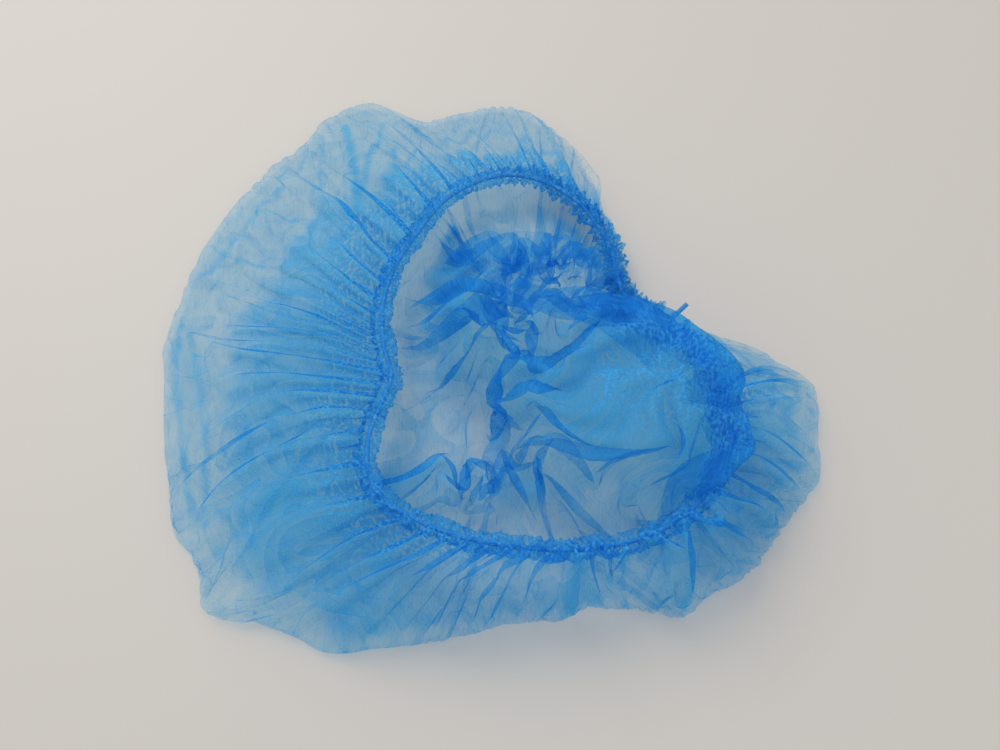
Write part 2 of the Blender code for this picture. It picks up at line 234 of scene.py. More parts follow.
CREASES = (
    Crease(((-0.57, 1.04), (-0.52, 0.80), (-0.48, 0.56)), 0.0022, 4.0),
    Crease(((-0.44, 1.04), (-0.47, 0.86), (-0.49, 0.69)), 0.0016, 3.0),
    Crease(((-0.40, 0.90), (-0.36, 0.72)), 0.0016, 3.0),
    Crease(((-0.30, 0.90), (-0.38, 0.79)), 0.0013, 2.5),
    Crease(((-0.66, 1.04), (-0.63, 0.81), (-0.64, 0.67)), 0.0012, 1.6),
    Crease(((-0.85, 0.67), (-0.68, 0.60), (-0.54, 0.56)), 0.0013, 1.6),
    Crease(((-1.04, 0.29), (-1.03, 0.07), (-0.98, -0.16), (-0.92, -0.39)), 0.0016, 2.6),
    Crease(((-0.99, 0.18), (-0.92, -0.06), (-0.89, -0.23), (-0.87, -0.45)), 0.0018, 2.4),
    Crease(((-0.97, 0.45), (-0.90, 0.58), (-0.82, 0.70), (-0.71, 0.90)), 0.0016, 2.2),
    Crease(((-1.00, 0.44), (-0.89, 0.48), (-0.79, 0.44)), 0.0014, 2.0),
    Crease(((-0.24, 0.97), (-0.04, 1.00), (0.16, 0.90)), 0.0020, 2.0),
    Crease(((-0.28, 0.90), (-0.11, 0.84), (0.03, 0.86)), 0.0016, 2.0),
    Crease(((-0.84, -0.52), (-0.75, -0.46), (-0.65, -0.40)), 0.0020, 2.0),
    Crease(((-0.50, -0.58), (-0.45, -0.69), (-0.46, -0.80)), 0.0018, 1.6),
    Crease(((0.16, -0.54), (0.16, -0.62), (0.15, -0.69)), 0.0030, 5.0),
    Crease(((0.28, -0.56), (0.30, -0.65), (0.31, -0.70)), 0.0018, 2.0),
    Crease(((0.42, -0.53), (0.46, -0.62), (0.46, -0.70)), 0.0018, 2.2),
    Crease(((0.64, -0.40), (0.71, -0.46), (0.78, -0.49)), 0.0018, 2.4),
    Crease(((0.66, 0.13), (0.75, 0.02), (0.89, -0.08)), 0.0013, 2.6),
    Crease(((0.56, 0.11), (0.66, -0.03), (0.80, -0.08)), 0.0014, 2.0),
)

UPPER_FOLDS = (
    Fold((-0.06, -0.60), (0.52, -0.56), 0.10, 0.10),
    Fold((-0.82, 0.98), (-0.56, 0.60), 0.06, 0.10),
    Fold((-0.58, 1.04), (-0.52, 0.58), 0.05, 0.09),
    Fold((-0.33, 1.12), (-0.20, 0.86), 0.08, -0.12),
    Fold((-1.00, 0.30), (-0.96, -0.42), 0.07, 0.10),
    Fold((-0.84, 0.36), (-0.62, 0.10), 0.10, -0.12),
    Fold((-0.66, 0.42), (-0.56, -0.12), 0.10, 0.10),
    Fold((-0.74, -0.66), (-0.40, -0.56), 0.08, -0.12),
    Fold((0.19, -0.72), (0.17, -0.50), 0.05, 0.10),
    Fold((0.46, 0.18), (0.82, 0.02), 0.08, 0.08),
    Fold((0.60, -0.36), (0.78, -0.22), 0.08, -0.12),
)


@dataclass
class LyingForm:
    """The form that the cap lies in, round the centre of its opening.

    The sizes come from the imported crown, so the form is the solid's own.
    """

    low: np.ndarray
    high: np.ndarray
    hem_radius: float = 0.0044
    fold_rise: float = 0.0022
    tail_bearing: float = math.radians(27.0)
    tuft_steepness: float = 1.7
    tuft_join: int = 6
    crumple_seed: int = 23
    share: np.ndarray = field(init=False)
    centre: np.ndarray = field(init=False)
    height: float = field(init=False)

    def __post_init__(self) -> None:
        """Work out the length of a share of 1 and the opening's centre from the crown's box."""
        bearing = np.radians(np.arange(360))
        outline = self.section("outline", bearing)
        level = np.stack([outline * np.cos(bearing), outline * np.sin(bearing)], axis=-1)
        size = (self.high - self.low)[:2]
        self.share = size / np.ptp(level, axis=0)
        middle = (level.max(axis=0) + level.min(axis=0)) / 2.0 * self.share
        self.centre = (self.high + self.low)[:2] / 2.0 - middle
        self.height = float(self.high[2])

    def section(self, column: str, bearing: np.ndarray) -> np.ndarray:
        """Return one column of the sections at any bearing.

        Args:
            column: the name of a Section's field.
            bearing: angles in radians.

        Returns:
            The column's value at each bearing.
        """
        values = np.array([getattr(row, column) for row in SECTIONS])
        place = np.asarray(bearing) / TURN * len(values)
        base = np.floor(place).astype(int)
        near = [values[(base + step) % len(values)] for step in (-1, 0, 1, 2)]
        return catmull_rom(*near, place - base)

    def direction(self, bearing: np.ndarray) -> tuple[np.ndarray, np.ndarray]:
        """Return the level unit vector of each bearing and the length of a share of 1 along it."""
        along = np.stack([np.cos(bearing), np.sin(bearing)], axis=-1) * self.share
        length = np.linalg.norm(along, axis=-1)
        return along / length[..., None], length

    def outline_reach(self, bearing: np.ndarray) -> np.ndarray:
        """Return the reach of the silhouette, with its corners."""
        outline = self.section("outline", bearing)
        for corner in CORNERS:
            away = (np.degrees(bearing) - corner.bearing + 180.0) % 360.0 - 180.0
            outline = outline + corner.out * np.exp(-((away / corner.half_width) ** 2))
        return outline * self.direction(bearing)[1]

    def ring_reach(self, bearing: np.ndarray) -> np.ndarray:
        """Return the reach of the elastic, at least a hem's radius inside the silhouette."""
        reach = self.section("ring", bearing) * self.direction(bearing)[1]
        return np.minimum(reach, self.outline_reach(bearing) - self.hem_radius)

    def ring_points(self, bearing: np.ndarray) -> np.ndarray:
        """Return the elastic's centre line at each bearing."""
        level = self.centre + self.direction(bearing)[0] * self.ring_reach(bearing)[..., None]
        height = self.section("ring_height", bearing) * self.height
        return np.concatenate([level, height[..., None]], axis=-1)

    def outline_points(self, bearing: np.ndarray) -> np.ndarray:
        """Return the silhouette's points, level."""
        return self.centre + self.direction(bearing)[0] * self.outline_reach(bearing)[..., None]

    def to_shares(self, level: np.ndarray) -> np.ndarray:
        """Return level places as shares of the cap's size from the opening's centre."""
        return (level - self.centre) / self.share

    def fold_relief(self, level: np.ndarray, folds: tuple[Fold, ...]) -> np.ndarray:
        """Return the height that folds add over level places.

        Args:
            level: level places, in metres.
            folds: the folds to add up.

        Returns:
            A height for each place.
        """
        shares = self.to_shares(level)
        relief = np.zeros(level.shape[:-1])
        for fold in folds:
            distance = run_distance(shares, np.array(fold.start), np.array(fold.end)) / fold.half_width
            relief += fold.height * self.height * smooth_step(1.0 - 0.5 * distance)
        return relief

    def patchwork(self, level: np.ndarray) -> tuple[np.ndarray, np.ndarray]:
        """Return the layers that the floor layer's patches add over level places, and their crimps.

        Args:
            level: level places, in metres.

        Returns:
            The added layers, and how crimped the cloth is, at each place.
        """
        shares = self.to_shares(level)
        layers = np.zeros(level.shape[:-1])
        crimped = np.zeros(level.shape[:-1])
        for patch in PATCHES:
            away = run_distance(shares, np.array(patch.start), np.array(patch.end)) / patch.half_width
            inside = smooth_step((1.2 - away) / 0.4)
            layers += patch.layers * inside
            crimped = np.maximum(crimped, patch.crimped * inside)
        return layers, crimped

    def tuft_relief(self, level: np.ndarray) -> np.ndarray:
        """Return the height of the pushed-up cloth over level places.

        Args:
            level: level places, in metres.

        Returns:
            A height for each place.
        """
        shares = self.to_shares(level)
        total = np.zeros(level.shape[:-1])
        for tuft in TUFTS:
            distance = np.linalg.norm((shares - tuft.place) / tuft.radii, axis=-1)
            total += (tuft.height * smooth_step(self.tuft_steepness * (1.0 - distance))) ** self.tuft_join
        return total ** (1.0 / self.tuft_join) * self.height

    def overhang(self, level: np.ndarray, relief: np.ndarray) -> np.ndarray:
        """Return how far the pushed-up cloth leans over the hem, to the right and to the front.

        Args:
            level: level places, in metres.
            relief: the height of the cloth at each place.

        Returns:
            A level shift for each place.
        """
        shares = self.to_shares(level)
        right = smooth_step((shares[..., 0] - 0.05) / 0.35) * smooth_step((0.26 - shares[..., 1]) / 0.25)
        front = smooth_step((0.05 - shares[..., 1]) / 0.30) * smooth_step((shares[..., 0] + 0.10) / 0.25)
        lean = np.stack([0.13 * right, -0.10 * front], axis=-1) * self.share
        return lean * smooth_step((relief / self.height - 0.28) / 0.40)[..., None]

    def crumple(self, level: np.ndarray) -> np.ndarray:
        """Return the height of random soft ridges over level places.

        Args:
            level: level places, in metres.

        Returns:
            A height for each place.
        """
        rng = np.random.default_rng(self.crumple_seed)
        total = np.zeros(level.shape[:-1])
        for length, height in RIDGES:
            for _ in range(3):
                wave = np.zeros(level.shape[:-1])
                for _ in range(4):
                    heading, phase = rng.uniform(0.0, TURN, 2)
                    size = length * rng.uniform(0.75, 1.35)
                    way = np.array([math.cos(heading), math.sin(heading)])
                    wave += np.sin((level @ way) * TURN / size + phase)
                total += height * (1.0 - np.abs(wave) / 1.6).clip(-0.5, 1.0) / 3.0
        return total

    def inside_ring(self, level: np.ndarray) -> np.ndarray:
        """Return how far level places lie inside the hem, in hem radii.

        Args:
            level: level places, in metres.

        Returns:
            The distance from the hem's inner side, below zero under it.
        """
        shares = self.to_shares(level)
        bearing = np.arctan2(shares[..., 1], shares[..., 0])
        reach = np.linalg.norm(level - self.centre, axis=-1)
        return (self.ring_reach(bearing) - self.hem_radius - reach) / self.hem_radius


@dataclass
class SheetMap:
    """Where each point of the flat disc goes on the lying form, before it is solved.

    A point's bearing on the disc picks a path from the crown's middle out along the surface, round the
    fold at the silhouette and up to the ring, and its radius picks a place along that path. Cloth that
    the path has no room for goes to the mound and to the gathers near the ring.
    """

    form: LyingForm
    radius: float
    crown_middle: tuple = (-0.08, 0.17)
    directions: int = 720
    radii: int = 420
    floor_samples: int = 150
    fold_samples: int = 9
    upper_samples: int = 110
    puff_gain: float = 2.0
    mound_room: float = 1.0
    gather_room: float = 0.5
    mound_ease: float = 0.45
    crimp_ease: float = 0.25
    slack_ease: float = 0.50
    mound_layers: float = 5.0
    gather_layers: float = 3.0
    crimp_layers: float = 2.8

    def build(self) -> tuple[np.ndarray, ...]:
        """Sample every path.

        Returns:
            Tables over bearing and radius: places, lowest heights, highest heights, the share of the way
            from the fold to the ring, below zero on the floor layer, how much the mesh's cells are larger
            than the flat cloth's, the layers of cloth that are bunched into the one that is modelled, and
            how crimped the cloth is.
        """
        form = self.form
        bearing = np.linspace(0.0, TURN, self.directions, endpoint=False)
        middle = form.centre + np.array(self.crown_middle) * form.share
        edge = self._edge_from(middle, bearing)
        ring = self._ring_at(bearing)
        outward = edge - middle
        outward /= np.linalg.norm(outward, axis=1)[:, None]
        spare = np.linalg.norm(edge - ring[:, :2], axis=1)
        rise = form.fold_rise * (0.45 + 0.55 * smooth_step(spare / 0.03))
        start = edge - outward * rise[:, None]

        share = np.linspace(0.0, 1.0, self.floor_samples)[None, :, None]
        floor_level = blend(middle[None, None, :], start[:, None, :], share)
        tuft = form.tuft_relief(floor_level)
        clear = smooth_step(form.inside_ring(floor_level) / 1.5)
        relief = np.maximum(tuft, form.fold_relief(floor_level, FLOOR_FOLDS)) * clear
        puffs = form.crumple(floor_level) * self.puff_gain * smooth_step(tuft / form.height / 0.5) * clear
        leaning = form.overhang(floor_level, relief)
        relief = np.maximum(relief + puffs, 0.0)
        floor = np.concatenate([floor_level + leaning, relief[..., None] + 0.0005], axis=-1)

        angle = np.linspace(-math.pi / 2.0, math.pi / 2.0, self.fold_samples)[None, :]
        reach = rise[:, None] * np.cos(angle)
        fold_level = start[:, None, :] + outward[:, None, :] * reach[..., None]
        fold = np.concatenate([fold_level, (rise[:, None] * (1.0 + np.sin(angle)))[..., None]], axis=-1)

        upper, along = self._upper_paths(start, ring, rise, bearing)
        path = np.concatenate([floor, fold, upper], axis=1)
        shares = form.to_shares(edge)
        ruffle = form.section("ruffle", np.arctan2(shares[:, 1], shares[:, 0]))[:, None]
        mound = smooth_step(relief / 0.012)
        room = np.concatenate([
            0.02 + self.mound_room * mound,
            np.repeat(0.05 + 0.5 * ruffle, self.fold_samples, axis=1),
            0.02 + 0.35 * ruffle * (1.0 - along) + self.gather_room * smooth_step((along - 0.20) / 0.3),
        ], axis=1)
        layer = np.concatenate([
            np.full(floor.shape[:2], -1.0),
            np.zeros(fold.shape[:2]),
            along,
        ], axis=1)
        top = np.concatenate([
            0.0030 + 1.5 * relief + 0.0015 * clear,
            np.full(fold.shape[:2], NO_LIMIT),
            np.full(upper.shape[:2], NO_LIMIT),
        ], axis=1)
        bottom = np.concatenate([
            np.full(floor.shape[:2], TABLE_GAP),
            np.full(fold.shape[:2], TABLE_GAP),
            TABLE_GAP + 0.0030 * smooth_step(along / 0.2),
        ], axis=1)
        ease = np.concatenate([
            1.0 + self.mound_ease * mound,
            np.ones(fold.shape[:2]),
            1.0 - self.crimp_ease * smooth_step((along - 0.20) / 0.45),
        ], axis=1)
        slack = np.maximum(self.radius - np.linalg.norm(np.diff(path, axis=1), axis=2).sum(axis=1), 0.0)
        ease *= 1.0 - self.slack_ease * smooth_step((slack - 0.05) / 0.12)[:, None]
        sheer = form.section("sheer", np.arctan2(shares[:, 1], shares[:, 0]))[:, None]
        patch = form.crumple(floor_level) / 0.010
        cloud = form.crumple(upper[..., :2]) / 0.010
        crimped = smooth_step((along - 0.72 + 0.20 * cloud) / 0.20)
        added, floor_crimped = form.patchwork(floor_level)
        wanted = np.concatenate([
            np.maximum(0.85 + 1.05 * clear + added * clear + (self.mound_layers + 1.2 * patch)
                       * smooth_step((relief - 0.006) / 0.010), 0.7),
            np.repeat(0.9 + 0.3 * ruffle, self.fold_samples, axis=1),
            0.85 + (self.gather_layers + 0.8 * cloud) * smooth_step((along - sheer + 0.12 * cloud) / 0.14)
            + self.crimp_layers * crimped,
        ], axis=1)
        crimped = np.concatenate([floor_crimped, np.zeros(fold.shape[:2]), crimped], axis=1)
        return self._by_radius(path, room, [bottom, top, layer, ease, wanted, crimped])

    def _edge_from(self, middle: np.ndarray, bearing: np.ndarray) -> np.ndarray:
        """Return the silhouette's point on each bearing as seen from the crown's middle."""
        outline = self.form.outline_points(np.linspace(0.0, TURN, TURN_SAMPLES, endpoint=False))
        offset = outline - middle
        angle = np.unwrap(np.arctan2(offset[:, 1], offset[:, 0]))
        order = np.argsort(angle % TURN)
        reach = np.linalg.norm(offset, axis=1)[order]
        found = np.interp(bearing, (angle % TURN)[order], reach, period=TURN)
        return middle + found[:, None] * np.stack([np.cos(bearing), np.sin(bearing)], axis=-1)

    def _ring_at(self, bearing: np.ndarray) -> np.ndarray:
        """Return the ring's point for each bearing of the disc, nearly evenly spaced along the elastic."""
        around = np.linspace(0.0, TURN, TURN_SAMPLES + 1)
        points = self.form.ring_points(around)
        steps = np.linalg.norm(np.diff(points, axis=0), axis=1)
        travelled = np.concatenate([[0.0], np.cumsum(steps)])
        even = travelled / travelled[-1] * TURN
        offset = np.mean(around - even)
        mixed = blend(even + offset, around, 0.35)
        place = np.interp(bearing, mixed, around, period=TURN)
        return self.form.ring_points(np.unwrap(place))

    def _upper_paths(self, start: np.ndarray, ring: np.ndarray, rise: np.ndarray,
                     bearing: np.ndarray) -> tuple[np.ndarray, np.ndarray]:
        """Return the upper layer's paths from the fold to the ring, and the share of the way."""
        form = self.form
        share = np.linspace(0.0, 1.0, self.upper_samples)[None, :]
        level = blend(start[:, None, :], ring[:, None, :2], share[..., None])
        at_ring = form.to_shares(ring[:, :2])
        ring_bearing = np.arctan2(at_ring[:, 1], at_ring[:, 0])
        crest = form.section("crest", ring_bearing)[:, None] * form.height
        span = np.linalg.norm(start - ring[:, :2], axis=1)[:, None]
        openness = smooth_step(span / 0.03)
        ring_height = ring[:, 2:3]
        base = 2.0 * rise[:, None]
        crest = blend(blend(base, ring_height, 0.6), crest, openness)
        knots_at = (0.0, 0.18, 0.58, 1.0)
        heights = np.stack([base, blend(base, crest, 0.34), crest, ring_height * np.ones_like(crest)])
        flat = np.zeros(level.shape[:2])
        for index in range(3):
            before = heights[max(index - 1, 0)]
            after = heights[min(index + 2, 3)]
            local = (share - knots_at[index]) / (knots_at[index + 1] - knots_at[index])
            piece = catmull_rom(before, heights[index], heights[index + 1], after, np.clip(local, 0.0, 1.0))
            flat = np.where((local >= 0.0) & (local <= 1.0), piece, flat)
        clear = smooth_step(share / 0.3) * smooth_step((1.0 - share) / 0.2) * openness
        sheer = form.section("sheer", ring_bearing)[:, None]
        crumple = form.crumple(level) * smooth_step((share - 0.7 * sheer) / 0.30)
        crumple *= smooth_step((1.0 - share) / 0.25)
        height = np.maximum(flat + form.fold_relief(level, UPPER_FOLDS) * clear + crumple * openness, base)
        return np.concatenate([level, height[..., None]], axis=-1), np.broadcast_to(share, flat.shape)

    def _by_radius(self, path: np.ndarray, room: np.ndarray,
                   extra: list[np.ndarray]) -> tuple[np.ndarray, ...]:
        """Resample each path at even radii of the disc, with the spare cloth where there is room."""
        steps = np.linalg.norm(np.diff(path, axis=1), axis=2)
        weight = (room[:, 1:] + room[:, :-1]) / 2.0
        plain = steps.sum(axis=1)
        spare = np.maximum(self.radius - plain, 0.0) / (steps * weight).sum(axis=1)
        cloth = np.cumsum(steps * (1.0 + spare[:, None] * weight), axis=1)
        cloth = np.concatenate([np.zeros((len(path), 1)), cloth], axis=1)
        cloth *= (self.radius / cloth[:, -1])[:, None]
        wanted = np.linspace(0.0, self.radius, self.radii)
        tables = [path[..., axis] for axis in range(3)] + extra
        found = np.zeros((len(tables), len(path), self.radii))
        for row in range(len(path)):
            for index, table in enumerate(tables):
                found[index, row] = np.interp(wanted, cloth[row], table[row])
        LOG.info("spare cloth along the paths: %.0f to %.0f mm", 1e3 * (self.radius - plain).min(),
                 1e3 * (self.radius - plain).max())
        return np.moveaxis(found[:3], 0, -1), *found[3:]

    def look_up(self, table: np.ndarray, flat: np.ndarray) -> np.ndarray:
        """Read a table at flat places of the disc.

        Args:
            table: values over bearing and radius.
            flat: flat places, in metres from the disc's middle.

        Returns:
            The table's value at each place.
        """
        radius = np.linalg.norm(flat, axis=-1) / self.radius * (self.radii - 1)
        bearing = (np.arctan2(flat[..., 1], flat[..., 0]) % TURN) / TURN * self.directions
        ring = np.clip(np.floor(radius).astype(int), 0, self.radii - 2)
        ray = np.floor(bearing).astype(int) % self.directions
        along = radius - ring
        around = bearing - np.floor(bearing)
        if table.ndim == 3:
            along, around = along[..., None], around[..., None]
        after = (ray + 1) % self.directions
        near = blend(table[ray, ring], table[ray, ring + 1], along)
        far = blend(table[after, ring], table[after, ring + 1], along)
        return blend(near, far, around)


@dataclass
class ClothSolver:
    """Relaxes a square lattice of cloth so that it doesn't stretch, and buckles where it has no room."""

    flat: np.ndarray
    ease: np.ndarray
    stretch: float = 0.9
    shear: float = 0.5
    bend: float = 0.12
    push: float = 1.0

    def __post_init__(self) -> None:
        """Measure the flat sheet between neighbours."""
        self.pairs = []
        count = self.flat.shape[0]
        span = slice(None)
        for step, stiffness in ((1, self.stretch), (2, self.bend)):
            for colour in range(2):
                rows = self._starts(count, step, colour)
                self._add((rows, span), (rows + step, span), stiffness)
                self._add((span, rows), (span, rows + step), stiffness)
        for colour in range(2):
            rows = np.arange(colour, count - 1, 2)
            self._add((rows, slice(0, -1)), (rows + 1, slice(1, None)), self.shear)
            self._add((rows, slice(1, None)), (rows + 1, slice(0, -1)), self.shear)

    @staticmethod
    def _starts(count: int, step: int, colour: int) -> np.ndarray:
        """Return the rows that start a pair, so that no row is in two pairs of one colour."""
        rows = np.arange(count - step)
        return rows[(rows // step) % 2 == colour]

    def _add(self, first: tuple, second: tuple, stiffness: float) -> None:
        """Keep a group of neighbour pairs with their flat distance."""
        rest = np.linalg.norm(self.flat[second] - self.flat[first], axis=-1)
        rest *= (self.ease[first] + self.ease[second]) / 2.0
        self.pairs.append((first, second, rest.astype(np.float32), np.float32(stiffness * 0.5)))

    def relax(self, places: np.ndarray) -> None:
        """Pull every pair of neighbours towards its flat distance, once.

        Args:
            places: the lattice's places, changed in place.
        """
        for first, second, rest, stiffness in self.pairs:
            gap = places[second] - places[first]
            length = np.sqrt(np.einsum("ijk,ijk->ij", gap, gap)) + np.float32(1e-9)
            excess = length - rest
            excess = np.where(excess < 0.0, excess * np.float32(self.push), excess)
            gap *= (stiffness * excess / length)[..., None]
            places[first] += gap
            places[second] -= gap


@dataclass(frozen=True)
class Level:
    """One pass of the solver over a lattice that keeps every so many points.

    pleats is the share of the gathers that the pass starts with, and ring_hold is how much harder the
    cloth is held near the ring.
    """

    stride: int
    steps: int
    hold: float
    bend: float
    push: float
    crumple: float
    pleats: float
    ring_hold: float


LEVELS = (
    Level(8, 220, 0.08, 0.01, 1.0, 0.50, 0.0, 0.6),
    Level(4, 220, 0.06, 0.02, 1.0, 0.40, 0.0, 0.10),
    Level(2, 160, 0.03, 0.06, 0.9, 0.32, 0.3, 0.0),
    Level(1, 90, 0.01, 0.20, 0.5, 0.14, 0.20, 0.0),
)


@dataclass
class Crown:
    """The crown: one disc of cloth, gathered at its edge."""

    form: LyingForm
    radius: float = DISC_RADIUS
    lattice: int = 305
    pleats: int = 150
    blur_rounds: int = 40
    seed: int = 11

    def flat_places(self) -> np.ndarray:
        """Return the flat disc's lattice, with the square's sides bent onto the circle."""
        line = np.linspace(-1.0, 1.0, self.lattice)
        across, up = np.meshgrid(line, line, indexing="ij")
        flat = np.stack([across * np.sqrt(1.0 - up**2 / 2.0), up * np.sqrt(1.0 - across**2 / 2.0)], axis=-1)
        return flat * self.radius

    def _wandering(self, flat: np.ndarray) -> np.ndarray:
        """Return the flat places shifted by long soft waves that fade out at the disc's edge."""
        rng = np.random.default_rng(self.seed + 1)
        shift = np.zeros_like(flat)
        for _ in range(24):
            length = rng.uniform(0.05, 0.14)
            heading, phase, lean = rng.uniform(0.0, TURN, 3)
            way = np.array([math.cos(heading), math.sin(heading)])
            wave = np.sin((flat @ way) * TURN / length + phase)
            shift += (wave * length * 0.022)[..., None] * np.array([math.cos(lean), math.sin(lean)])
        distance = np.linalg.norm(flat, axis=-1) / self.radius
        return flat + shift * (1.0 - distance**4)[..., None]

    def gathers(self, flat: np.ndarray) -> np.ndarray:
        """Return the pleats at the gathered edge: fine at the ring, wider away from it.

        Args:
            flat: flat places of the disc, in metres from its middle.

        Returns:
            A height for each place.
        """
        rng = np.random.default_rng(self.seed)
        distance = np.linalg.norm(flat, axis=-1) / self.radius
        bearing = np.arctan2(flat[..., 1], flat[..., 0])
        wander = np.zeros_like(bearing)
        for count in (3, 5, 8, 13, 21):
            wander += rng.uniform(0.4, 1.0) * np.sin(count * bearing + rng.uniform(0.0, TURN)) * 4.0 / count
        waves = np.zeros_like(bearing)
        rows = ((1, 1.0, 0.05, 0.0030), (2, 0.91, 0.05, 0.0024), (3, 0.83, 0.06, 0.0020))
        for part, at, width, height in rows:
            count = self.pleats // part
            strength = np.exp(-(((distance - at) / width) ** 2)) * height
            waves += strength * np.sin(count * bearing + wander + rng.uniform(0.0, TURN))
        return waves

    def solve(self) -> tuple[np.ndarray, ...]:
        """Lay the disc over the form and let it buckle, from large folds to small.

        Returns:
            The flat places, the solved places, the layers of cloth that each point stands for and how
            crimped it is.
        """
        flat = self.flat_places()
        mapping = SheetMap(self.form, self.radius)
        table, *plain, wanted, crimped = mapping.build()
        wandering = self._wandering(flat)
        wanted, crimped, target = (mapping.look_up(read, wandering) for read in (wanted, crimped, table))
        target = target.astype(np.float32)
        low, high, way, ease = (mapping.look_up(read, flat).astype(np.float32) for read in plain)
        normal = self._normals(target)
        pleats = self.gathers(flat).astype(np.float32)
        distance = np.linalg.norm(flat, axis=-1) / self.radius
        near_ring = smooth_step((distance - 0.70) / 0.25).astype(np.float32)
        rng = np.random.default_rng(self.seed)
        moved = None
        for level in LEVELS:
            part = (slice(None, None, level.stride), slice(None, None, level.stride))
            spacing = 2.0 * self.radius / (self.lattice - 1) * level.stride
            size = target[part].shape[:2]
            moved = np.zeros(size + (3,), dtype=np.float32) if moved is None else self._refine(moved)
            noise = rng.normal(size=size).astype(np.float32) * np.float32(level.crumple * spacing)
            share = np.float32(level.pleats)
            places = target[part] + moved + (noise + share * pleats[part])[..., None] * normal[part]
            steps = level.steps
            grip = level.hold + near_ring[part] * np.float32(level.ring_hold)
            at_fold = (way[part] > -0.6) & (way[part] < 0.10)
            grip = grip + np.where(at_fold, np.float32(0.25), np.float32(0.0))
            self._settle(places, target[part], low[part], high[part], normal[part],
                         ClothSolver(flat[part], ease[part], bend=level.bend, push=level.push), steps,
                         grip[..., None])
            moved = places - target[part]
        around = (places[:-2, 1:-1] + places[2:, 1:-1] + places[1:-1, :-2] + places[1:-1, 2:]) / 4.0
        places[1:-1, 1:-1] += (around - places[1:-1, 1:-1]) * np.float32(0.25)
        return flat, places, self.layers(flat, target, places, way, wanted), crimped

    def layers(self, flat: np.ndarray, target: np.ndarray, places: np.ndarray, way: np.ndarray,
               wanted: np.ndarray) -> np.ndarray:
        """Return how many layers of cloth each point stands for, seen from above.

        The wanted number varies with the flat sheet's area for each area that it takes up.

        Args:
            flat: the flat lattice.
            target: the lattice on the form, before it is solved.
            places: the solved lattice.
            way: the share of the way from the fold to the ring, below zero on the floor layer.
            wanted: the number of layers on the whole, without single folds.

        Returns:
            One number for each point of the lattice.
        """
        sheet = self._cell_areas(np.concatenate([flat, np.zeros(flat.shape[:2] + (1,))], axis=-1), level=True)
        gathered = sheet / np.maximum(self._cell_areas(target, level=False), 1e-9)
        seen = sheet / np.maximum(self._cell_areas(places, level=True), sheet / 9.0)
        bunched = 0.6 * np.clip(seen, 0.8, 6.0) + 0.4 * np.clip(gathered, 0.8, 6.0)
        surfaces = self._blurred(self._cell_areas(places, level=True), self.blur_rounds)
        surfaces /= self._blurred(self._cell_areas(target, level=True), self.blur_rounds)
        varied = np.clip(bunched / self._blurred(bunched, self.blur_rounds), 0.6, 2.0) ** 0.4
        padded = np.pad(varied / np.maximum(surfaces, 1.0) ** 0.95, 1, mode="edge")
        layers = wanted * (padded[:-1, :-1] + padded[1:, :-1] + padded[:-1, 1:] + padded[1:, 1:]) / 4.0
        LOG.info("layers: %.1f on the whole", float(layers.mean()))
        level = places[..., :2]
        for crease in CREASES:
            near = np.full(level.shape[:2], 1.0)
            stops = [np.array(stop) * self.form.share + self.form.centre for stop in crease.run]
            for start, end in zip(stops[:-1], stops[1:]):
                near = np.minimum(near, run_distance(level, start, end))
            shape = np.exp(-((near / crease.half_width) ** 2))
            layers += np.where(way > 0.0, crease.layers * shape, 0.0)
        return layers

    @staticmethod
    def _blurred(values: np.ndarray, rounds: int) -> np.ndarray:
        """Return a lattice's values averaged with their neighbours', so many times over."""
        for _ in range(rounds):
            padded = np.pad(values, 1, mode="edge")
            values = (padded[:-2, 1:-1] + padded[2:, 1:-1] + padded[1:-1, :-2] + padded[1:-1, 2:]) / 4.0
        return values

    @staticmethod
    def _cell_areas(places: np.ndarray, level: bool) -> np.ndarray:
        """Return the area of each cell of a lattice, as seen from above if level."""
        across = (places[1:, :-1] - places[:-1, :-1] + places[1:, 1:] - places[:-1, 1:]) / 2.0
        up = (places[:-1, 1:] - places[:-1, :-1] + places[1:, 1:] - places[1:, :-1]) / 2.0
        normal = np.cross(across, up)
        return np.abs(normal[..., 2]) if level else np.linalg.norm(normal, axis=-1)

    @staticmethod
    def _normals(places: np.ndarray) -> np.ndarray:
        """Return the unit normals of a lattice, up on the surface's own layer."""
        normal = np.cross(*np.gradient(places, axis=(0, 1)))
        return normal / np.maximum(np.linalg.norm(normal, axis=-1), 1e-12)[..., None]

    @staticmethod
    def _refine(moved: np.ndarray) -> np.ndarray:
        """Return a lattice of twice the density with values midway between neighbours."""
        count = moved.shape[0] * 2 - 1
        fine = np.zeros((count, count, 3), dtype=np.float32)
        fine[::2, ::2] = moved
        fine[1::2, ::2] = (moved[:-1] + moved[1:]) / 2.0
        fine[:, 1::2] = (fine[:, :-1:2] + fine[:, 2::2]) / 2.0
        return fine

    def _settle(self, places: np.ndarray, target: np.ndarray, low: np.ndarray, high: np.ndarray,
                normal: np.ndarray, solver: ClothSolver, steps: int, grip: np.ndarray) -> None:
        """Relax the sheet in place, over the surface and inside the hem.

        It is held where it lies along the form, and hardly across it, so that spare cloth stays where it
        is and buckles.
        """
        edge = np.zeros(places.shape[:2], dtype=bool)
        edge[0], edge[-1], edge[:, 0], edge[:, -1] = True, True, True, True
        reach = self.form.hem_radius * 0.8
        for step in range(steps):
            solver.relax(places)
            back = target - places
            outward = normal * np.einsum("ijk,ijk->ij", back, normal)[..., None]
            places += (back - outward) * grip + outward * (grip * np.float32(0.08) + np.float32(0.002))
            places[..., 2] = np.clip(places[..., 2], low, high)
            away = places[edge] - target[edge]
            length = np.linalg.norm(away, axis=-1)[:, None]
            places[edge] = target[edge] + away * np.minimum(1.0, reach / np.maximum(length, 1e-9))

